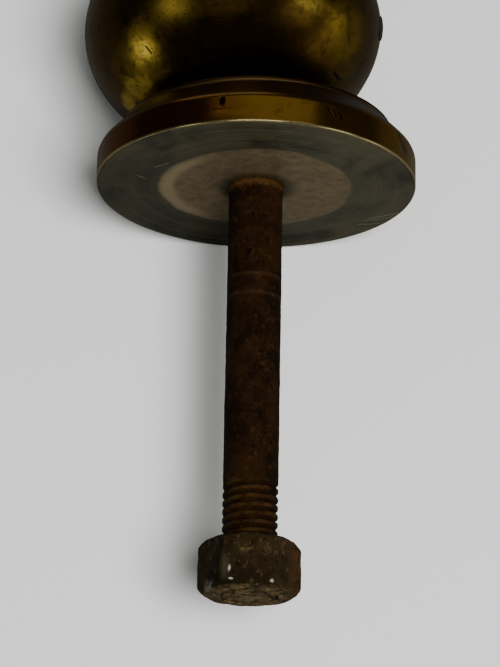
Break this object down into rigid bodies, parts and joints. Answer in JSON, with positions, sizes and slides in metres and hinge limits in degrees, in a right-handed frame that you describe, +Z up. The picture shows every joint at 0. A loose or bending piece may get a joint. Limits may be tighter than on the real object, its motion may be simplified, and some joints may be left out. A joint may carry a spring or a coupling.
{
  "type": "centre door knob",
  "caption": "Hollow brass bun door knob on a turned brass rose, fixed through the door by a rusty iron bolt and a hex nut that screws along it.",
  "frame": {"origin": "centre of the rose's back face, on the bolt's axis, where the face lies against the door", "axes": "+Y along the bolt into the door, the knob towards -Y, +Z up"},
  "size_m": [0.0783, 0.1656, 0.074],
  "materials": {
    "rose_brass": "turned brass, polished rim and grey oxidised back",
    "knob_brass": "aged polished brass with brown patina",
    "vent_plug_brass": "blackened brass",
    "neck_brass": "cast brass, dull",
    "pin_steel": "plain steel",
    "bolt_iron": "dark brown rust",
    "nut_iron": "brown and tan rust with old paint flecks"
  },
  "bodies": {
    "rose": {"rose": "rose_brass"},
    "knob": {"neck": "neck_brass", "cross_pin": "pin_steel", "bolt": "bolt_iron", "knob_front_shell": "knob_brass", "knob_rear_shell": "knob_brass", "vent_plug": "vent_plug_brass"},
    "nut": {"hex_nut": "nut_iron"}
  },
  "joints": [
    {"name": "knob_turn", "type": "hinge", "parent": "rose", "child": "knob", "pos_m": [0, 0, 0], "axis": [0, 1, 0], "range_deg": [-1710, 2430]},
    {"name": "nut_travel", "type": "slide", "parent": "rose", "child": "nut", "axis": [0, -1, 0], "range_m": [-0.0093, 0.0132]}
  ],
  "couplings": [
    {"joint": "nut_travel", "follows": "knob_turn", "m_per_rad": 0.00031096}
  ]
}
